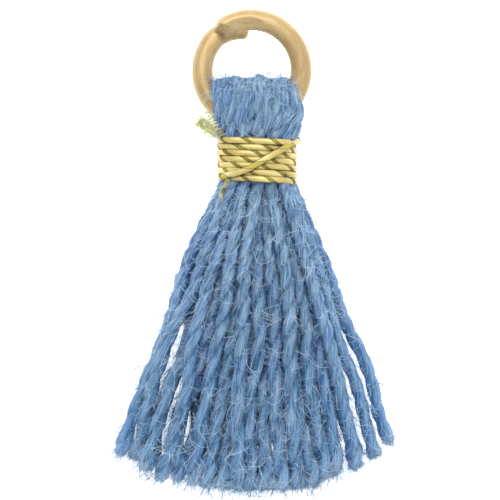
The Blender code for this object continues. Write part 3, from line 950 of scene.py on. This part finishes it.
def binding_runs():
    """Each run's points, outward ways, sizes, foil turns and share left bare."""
    points, ways = wound_turns()
    length = run_length(points)
    half_turn = np.arange(TURN_STEPS // 2)
    climb = np.sin(math.pi * half_turn / (TURN_STEPS // 4)) ** 2
    points[LEAD_IN + half_turn, 2] += FIRST_TURN_RISE * climb
    forward = length[TURN_STEPS] - FOIL_STEP_BACK
    pitch = forward / round(forward / FOIL_PITCH)
    slips = np.random.default_rng(6).uniform(-FOIL_SLIP, FOIL_SLIP, len(SLIP_PLACES))
    turns = (length - FOIL_START) / pitch + np.interp(length, SLIP_PLACES, slips)
    ones = np.ones(len(points))
    yield points, ways, ones, turns, BARE_SHARES[0] * ones
    points, ways = crossing_turn()
    length = run_length(points)
    patch = length[np.argmin(np.abs(points[:, 0] - FIRST_PATCH) - (length > 1.0))]
    ones = np.ones(len(points))
    yield points, ways, CROSSING_SIZE * ones, (length - patch) / PATCH_PITCH, BARE_SHARES[1] * ones
    points = through(FRAYED_STUB, 0.06)
    ones = np.ones(len(points))
    sizes = STUB_SIZE * (1.0 - 0.25 * np.linspace(0.0, 1.0, len(points)) ** 2)
    ways = np.outer(ones, (0.0, 0.0, 1.0))
    yield points, ways, sizes, run_length(points) / STUB_PITCH, BARE_SHARES[2] * ones


def foil_thread_tree():
    """A flattened thread along each run, standing proud where the foil strip covers it."""
    tree, given = new_tree("foil_thread", {
        "Step": 0.07 * MM, "Half Width": THREAD_HALF_WIDTH * MM, "Sides": 16,
        "Half Thickness": THREAD_HALF_THICKNESS * MM, "Foil Height": 0.022 * MM, "Thread": None,
    })
    line = even_curves(given)
    line = line.node("GeometryNodeSetCurveNormal", Curve=line, mode="FREE",
                     Normal=stored(line, "outward", "FLOAT_VECTOR"))
    circle = circle_of(line, given["Sides"], 1.0)
    rim = circle.node("GeometryNodeInputPosition")
    flat = rim.vector("MULTIPLY", circle.xyz(given["Half Thickness"], given["Half Width"], 1.0))
    circle = moved(kept(circle, "FLOAT_VECTOR", rim=rim), Position=flat)
    mesh = swept(sized(line, stored(line, "size")), circle)
    rim = stored(mesh, "rim", "FLOAT_VECTOR").parts()
    mesh = kept(mesh, "FLOAT_VECTOR", wrap=mesh.xyz(rim["X"], rim["Y"], stored(mesh, "foil_turn")))
    covered = foil_cover(stored(mesh, "wrap", "FLOAT_VECTOR"), stored(mesh, "bare_share"))
    proud = mesh.node("GeometryNodeInputNormal").scaled(covered * given["Foil Height"])
    return end_smooth(tree, moved(mesh, Offset=proud), given["Thread"])


def foil_place(wrap):
    """How far across one wrap of the foil a point lies, from 0 to 1."""
    parts = wrap.parts()
    turned = wrap.math("ARCTAN2", parts["Y"], parts["X"]) / (2 * math.pi)
    return wrap.math("FRACT", parts["Z"] - turned + 40.0)


def foil_depth(wrap, share):
    """How far a point lies inside the foil strip's edge; it is negative on the bare thread."""
    return 0.5 - share * 0.5 - wrap.math("ABSOLUTE", foil_place(wrap) - 0.5)


def foil_cover(wrap, share):
    """1 on the foil strip and 0 on the bare thread between its wraps."""
    return foil_depth(wrap, share).ease(-0.010, 0.010)


def foil_finish():
    """Pale gold plastic foil over olive thread: the foil is smooth, the thread fibrous. Painted shade
    darkens the thread's sides and the edges of the foil wraps.
    """
    material, shader, place = finish_of("foil_thread", Specular_IOR_Level=0.5)
    wrap = place.node("ShaderNodeAttribute", attribute_name="wrap", output=1)
    share = place.node("ShaderNodeAttribute", attribute_name="bare_share", output=2)
    covered = foil_cover(wrap, share)
    shade = noise(place, 700.0)
    fibre = noise(place, 5200.0)
    foil = toned(shade * 0.75 + foil_place(wrap) * 0.25, (0.30, (0.45, 0.325, 0.080)),
                 (0.50, (0.62, 0.490, 0.160)), (0.72, (0.80, 0.680, 0.300)))
    bare = toned(shade * 0.5 + fibre * 0.4 + share * 1.3 - 0.22, (0.32, (0.060, 0.042, 0.008)),
                 (0.50, (0.20, 0.155, 0.024)), (0.70, (0.50, 0.44, 0.075)))
    # painted shade: the thread darkens to dark brown on its sides and underside and along both edges of
    # each foil wrap
    edge = wrap.math("ABSOLUTE", foil_depth(wrap, share) + 0.012).ease(0.006, 0.034)
    lit = wrap.parts()["X"].ease(0.26, 0.64) * (0.30 + 0.70 * edge)
    both = mixed(lit, (0.085, 0.055, 0.010, 1.0), mixed(covered, bare, foil))
    feed(shader, Base_Color=both, Metallic=covered * 0.20, Roughness=0.85 - covered * 0.42,
         Normal=bumped(fibre * (1.0 - covered) + shade * 0.3, 0.5, 0.02))
    return material


# The two loose ends. At the upper one bare cotton fans out in a tuft, and the foil strip springs
# off beside it. At the lower one foil and cotton split into crinkled hairs.
TUFT_FIBRES = 170
TUFT_SPREAD = 0.21
TUFT_ACROSS = (0.53, 0.85, 0.0)   # the way that the tuft fans out
CUT_HAIRS = 14
CUT_SPREAD = 0.085
CUT_END = ((-1.84, -1.05, 4.15), (-1.88, -1.25, 4.26), (-2.08, -1.55, 4.28), (-2.18, -1.78, 4.26),
           (-2.36, -1.98, 4.24), (-2.36, -2.20, 4.22), (-2.52, -2.42, 4.20), (-2.44, -2.68, 4.20),
           (-2.50, -2.95, 4.20))
SPRUNG_FOIL = ((-2.36, 1.55, 4.10), (-2.78, 2.08, 4.50), (-3.14, 2.66, 4.50), (-3.42, 3.18, 4.30))
CURL_PITCH, CURL_WIDTH, CURL_DEPTH = 0.26, 0.17, 0.14
LOOSE_STRIP = ((-3.40, 3.24, 4.45), (-3.18, 3.05, 4.55), (-2.94, 2.84, 4.60))


def tuft_lines():
    """Fibres from the stub's end to a loose fan."""
    draw = np.random.default_rng(8)
    root, tip = np.array(FRAYED_STUB[1]), np.array(TUFT_TIP)
    across = np.array(TUFT_ACROSS)
    lines = []
    for _ in range(TUFT_FIBRES):
        out = draw.normal(0.0, TUFT_SPREAD)
        end = root + (tip - root) * draw.uniform(0.55, 1.12) + across * out + (0, 0, draw.normal(0, 0.14))
        bow = across * draw.normal(0.0, 0.10) + np.array([0, 0, draw.normal(0, 0.08)])
        start = root + across * draw.normal(0, 0.07) + np.array([0, 0, draw.normal(0, 0.07)])
        middle = start * 0.45 + end * 0.55 - across * out * 0.20 + bow
        curl = end + draw.normal(0.0, 0.15, 3)
        lines.append(through([start, middle, end, curl], 0.18))
    return lines


def cut_lines():
    """The cut end: its foil and cotton split into a few crinkled hairs that lie on the skirt."""
    draw = np.random.default_rng(14)
    spine = np.array(CUT_END)
    lines = []
    for _ in range(CUT_HAIRS):
        hair = spine + draw.normal(0.0, CUT_SPREAD, spine.shape)
        lines.append(through(hair[:draw.integers(5, len(hair) + 1)], 0.06))
    return lines


def sprung_lines():
    """The foil strip, still curled as it was wrapped."""
    spine = through(SPRUNG_FOIL, 0.03)
    along = run_length(spine)
    turn = (along / CURL_PITCH + 0.20 * np.sin(along * 5.1)) * 2.0 * math.pi
    line = spine + np.outer(np.cos(turn) * CURL_WIDTH, (0.80, 0.60, 0.0))
    line += np.outer(np.sin(turn) * CURL_DEPTH, (0.0, 0.0, 1.0))
    return [line, through(LOOSE_STRIP, 0.1)]


def bundle_tree():
    """A thin hair along every line, as thick at each point as its size says."""
    tree, given = new_tree("fibre_bundle", {"Thickness": 0.013 * MM, "Sides": 3, "Fibre": None})
    line = given.node("GeometryNodeMeshToCurve", Mesh=given["Geometry"])
    mesh = swept(sized(line, stored(line, "size")), circle_of(line, given["Sides"], given["Thickness"]))
    return end_tree(tree, above_table(mesh), given["Fibre"])


def bundle(name, lines, material, thickness, sides=3, taper=0.6):
    """Hairs made from lines, dressed and joined to the part."""
    sizes = [1.0 - taper * np.linspace(0, 1, len(line)) ** 2 for line in lines]
    source = thread_source(name + "_lines", lines, size=sizes)
    piece = made_by(hair_bundle, source, name, Fibre=material, Thickness=thickness * MM, Sides=sides)
    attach(piece, "root")
    return piece


def fibre_finish(name, fineness, *stops, **fixed):
    """Single fibres of one stuff, lighter and darker by place."""
    material, shader, place = finish_of(name, **fixed)
    feed(shader, Base_Color=toned(noise(place, fineness, 1.0), *stops))
    return material


routes, ways, widths, foil_turns, bare_shares = zip(*binding_runs())
binding_source = thread_source("binding_runs", routes, outward=ways, size=widths,
                               foil_turn=foil_turns, bare_share=bare_shares)
bound_thread = made_by(foil_thread_tree(), binding_source, "bound_thread", Thread=foil_finish())
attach(bound_thread, "root")
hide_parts("binding")

hair_bundle = bundle_tree()
cotton = fibre_finish("chartreuse_cotton", 1500.0, (0.35, (0.66, 0.68, 0.24)), (0.65, (0.96, 0.95, 0.60)),
                      Metallic=0.0, Roughness=0.8)
strip = fibre_finish("gold_strip", 1500.0, (0.35, (0.42, 0.35, 0.08)), (0.65, (0.92, 0.86, 0.46)),
                     Metallic=0.1, Roughness=0.4)
split = fibre_finish("split_foil", 1500.0, (0.35, (0.16, 0.15, 0.02)), (0.65, (0.88, 0.88, 0.52)),
                     Metallic=0.15, Roughness=0.45)
bundle("frayed_tuft", tuft_lines(), cotton, 0.030)
bundle("sprung_foil", sprung_lines(), strip, 0.042, sides=4, taper=0.0)
bundle("cut_end", cut_lines(), split, 0.024, sides=4, taper=0.0)

# ------------------------------------------------------------ loose fibres
# Fine hairs of the spun cotton work loose from the yarn: some lie along it, some stand off it
# as a short fuzz, a few long ones curl away, and the cut ends open into small brushes.

FIBRE_SHAPES = 9
FIBRE_SIDES = 3
BINDING_BOTTOM = -1.40            # no fibres grow between this level and the binding's top


def fibre_shape(given, number):
    """One bent fibre, one unit long and standing on its root."""
    line = given.node("GeometryNodeCurvePrimitiveLine", Start=(0, 0, 0), End=(0, 0, 1))
    line = line.node("GeometryNodeResampleCurve", Curve=line, Count=given["Bends"], mode="COUNT")
    along = line.node("GeometryNodeSplineParameter")
    whole = given["Curl"] * (0.25 + 0.95 * number / FIBRE_SHAPES)
    turn = along * whole
    arc = line.xyz((1.0 - line.math("COSINE", turn)) / whole, 0.0, line.math("SINE", turn) / whole)
    drift, start = (noise(line.xyz(reach, number * 7.31, 0.5), 1.0, 0.0)["Color"]
                    for reach in (along * 2.6, 0.0))
    bend = drift.vector("SUBTRACT", start).scaled(given["Kinks"])
    line = sized(moved(line, Position=arc.vector("ADD", bend)), 1.0 - along * along * 0.7)
    return swept(line, circle_of(line, FIBRE_SIDES, given["Thickness"] / given["Length"]))


def outward_share(wire, least):
    """1 on the outside of the tassel, and the least share on sides that face its inside."""
    height = wire.node("GeometryNodeInputPosition").parts()["Z"]
    facing = outward(wire).vector("DOT_PRODUCT", wire.node("GeometryNodeInputNormal"))
    return (least + (1.0 - least) * facing.ease(-0.25, 0.55)) * height.ease(0.03 * MM, 0.35 * MM)


def drawn(wire, kind, low, high, seed):
    """A random value at each point. The node has one pair of sockets for each kind in turn."""
    pair = ("FLOAT_VECTOR", "FLOAT", "INT").index(kind)
    return wire.node("FunctionNodeRandomValue", output=pair, at={2 * pair: low, 2 * pair + 1: high},
                     data_type=kind, Seed=seed)


def loose_fibre_tree():
    """Fibres scattered over the yarn, leaning from its grain towards its outward way."""
    tree, given = new_tree("loose_fibres", {
        "Density": 1.0, "Length": MM, "Thickness": 0.012 * MM, "Lift": 0.2, "Stray": 0.2,
        "Curl": 0.5, "Kinks": 0.3, "Bends": 5, "At Ends": 0.0, "Bare To": 1.6 * MM,
        "Inner Share": 0.12, "Fold Share": 1.0, "Crown Share": 1.6, "Hem Share": 0.0,
        "Thin Share": 0.0, "Seed": 1, "Fibre": None,
    })
    level = given.node("GeometryNodeInputPosition").parts()["Y"]
    spread = 1.0 - given["At Ends"] + given["At Ends"] * stored(given, "open_end").ease(0.75, 0.97)
    under = given.math("LESS_THAN", level, BINDING_BOTTOM * MM)
    over = given.math("GREATER_THAN", level, given["Bare To"])
    crown = 0.4 + given["Crown Share"] * level.ease(3.8 * MM, 5.0 * MM)
    spread = spread * (under + over * crown * given["Fold Share"])
    spread = spread * outward_share(given, given["Inner Share"])
    spread = spread * (1.0 + given["Hem Share"] * stored(given, "untwisted"))
    points = given.node("GeometryNodeDistributePointsOnFaces", Mesh=given["Geometry"],
                        Density=given["Density"] * spread, Seed=given["Seed"])
    shapes = [fibre_shape(given, number) for number in range(FIBRE_SHAPES)]
    shapes = given.node("GeometryNodeGeometryToInstance", Geometry=shapes)
    grown = stored(given, "flow", "FLOAT_VECTOR").scaled(1.0 - given["Lift"])
    grown = grown.vector("ADD", points["Normal"].scaled(given["Lift"]))
    stray = drawn(given, "FLOAT_VECTOR", (-1, -1, -1), (1, 1, 1), 3).scaled(given["Stray"])
    turned = drawn(given, "FLOAT_VECTOR", (0, 0, 0), (0, 0, 6.283), 4)
    turned = turned.node("FunctionNodeEulerToRotation", turned)
    turned = turned.node("FunctionNodeAlignRotationToVector", axis="Z", Rotation=turned,
                         Vector=grown.vector("ADD", stray))
    size = drawn(given, "FLOAT", 0.45, 1.5, 5) * given["Length"]
    thinner = 1.0 - (1.0 - stored(points, "size")) * given["Thin Share"]
    fibres = points.node("GeometryNodeInstanceOnPoints", Points=points, Instance=shapes,
                         Pick_Instance=True, Instance_Index=drawn(given, "INT", 0, FIBRE_SHAPES - 1, 6),
                         Rotation=turned, Scale=size * thinner)
    fibres = fibres.node("GeometryNodeRealizeInstances", Geometry=fibres)
    return end_tree(tree, above_table(fibres), given["Fibre"])


def cotton_finish(name, *colours):
    """Dark, middle and pale fibres of the yarn's blue."""
    return fibre_finish(name, 900.0, *zip((0.34, 0.50, 0.66), colours), Roughness=0.7,
                        Specular_IOR_Level=0.3)


lying = cotton_finish("lying_fibre", (0.012, 0.075, 0.20), (0.13, 0.245, 0.40), (0.37, 0.50, 0.66))
flying = cotton_finish("flying_fibre", (0.26, 0.42, 0.64), (0.42, 0.60, 0.82), (0.66, 0.81, 0.95))
pale = cotton_finish("pale_fibre", (0.26, 0.44, 0.68), (0.42, 0.62, 0.84), (0.66, 0.82, 0.96))
brush = cotton_finish("brush_fibre", (0.24, 0.36, 0.49), (0.36, 0.49, 0.62), (0.52, 0.64, 0.75))
fibre_tree = loose_fibre_tree()
yarn_area = sum(face.area for face in spun_yarn.data.polygons)

# Each kind of fibre: its colour, how many, the share of the yarn they grow on, and its sizes.
for name, fibre, count, share, sizes in (
    ("lying_fibres", lying, 11500, 0.50, {
        "Length": 0.95, "Thickness": 0.0135, "Lift": 0.10, "Stray": 0.20, "Curl": 0.7, "Bends": 3,
        "Fold_Share": 1.7, "Crown_Share": 0.0, "Thin_Share": 0.8, "Seed": 1}),
    ("short_fuzz", flying, 8400, 0.50, {
        "Length": 0.74, "Thickness": 0.0095, "Lift": 0.55, "Stray": 0.50, "Curl": 2.2, "Kinks": 0.4,
        "Bends": 4, "Fold_Share": 1.4, "Crown_Share": 2.4, "Seed": 2}),
    ("long_hairs", pale, 1500, 0.50, {
        "Length": 2.4, "Thickness": 0.0118, "Lift": 0.32, "Stray": 0.45, "Curl": 4.0, "Kinks": 0.4,
        "Bends": 13, "Hem_Share": 2.0, "Bare_To": 20.0, "Seed": 3}),
    ("end_brushes", brush, 6000, 0.012, {
        "Length": 0.24, "Thickness": 0.011, "Lift": 0.10, "Stray": 0.60, "Curl": 2.0, "Bends": 4,
        "At_Ends": 1.0, "Inner_Share": 1.0, "Seed": 4}),
):
    lengths = {size: sizes[size] * MM for size in ("Length", "Thickness", "Bare_To") if size in sizes}
    carrier = placed("carrier", spun_yarn.data.copy())
    fibres = made_by(fibre_tree, carrier, name, Fibre=fibre, Density=count / yarn_area / share,
                     **{**sizes, **lengths})
    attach(fibres, "root")

# A few long hairs lie over the fold, and one strays from the binding: places along X, Y and Z.
STRAY_HAIRS = (
    ((0.60, 4.95, 4.25), (1.35, 4.75, 4.62), (2.30, 4.80, 4.45), (2.75, 4.45, 4.10), (2.80, 3.9, 4.0)),
    ((-1.10, 3.85, 4.62), (-0.55, 3.10, 4.70), (0.02, 2.40, 4.62), (0.10, 1.90, 4.45)),
    ((1.40, 1.72, 4.50), (1.75, 2.35, 4.62), (2.50, 3.05, 4.30), (2.72, 3.60, 4.10)),
    ((2.55, 1.62, 3.90), (3.35, 2.10, 3.70), (3.85, 2.16, 3.55), (4.10, 1.92, 3.40)),
    ((-2.30, 2.20, 4.20), (-1.80, 2.24, 4.50), (-1.35, 1.85, 4.55), (-1.15, 1.65, 4.50)),
    ((-2.40, 4.95, 3.70), (-1.90, 4.50, 4.40), (-1.55, 4.62, 4.55), (-1.20, 4.35, 4.60)),
    ((-1.30, 2.95, 4.66), (-0.70, 3.40, 4.70), (-0.30, 3.10, 4.72), (-0.60, 2.70, 4.70)),
    ((0.70, 3.60, 4.66), (1.10, 3.75, 4.68), (1.50, 3.60, 4.66), (1.65, 3.80, 4.60)),
)
stray_hairs = bundle("stray_hairs", [through(hair, 0.12) for hair in STRAY_HAIRS], pale, 0.020)
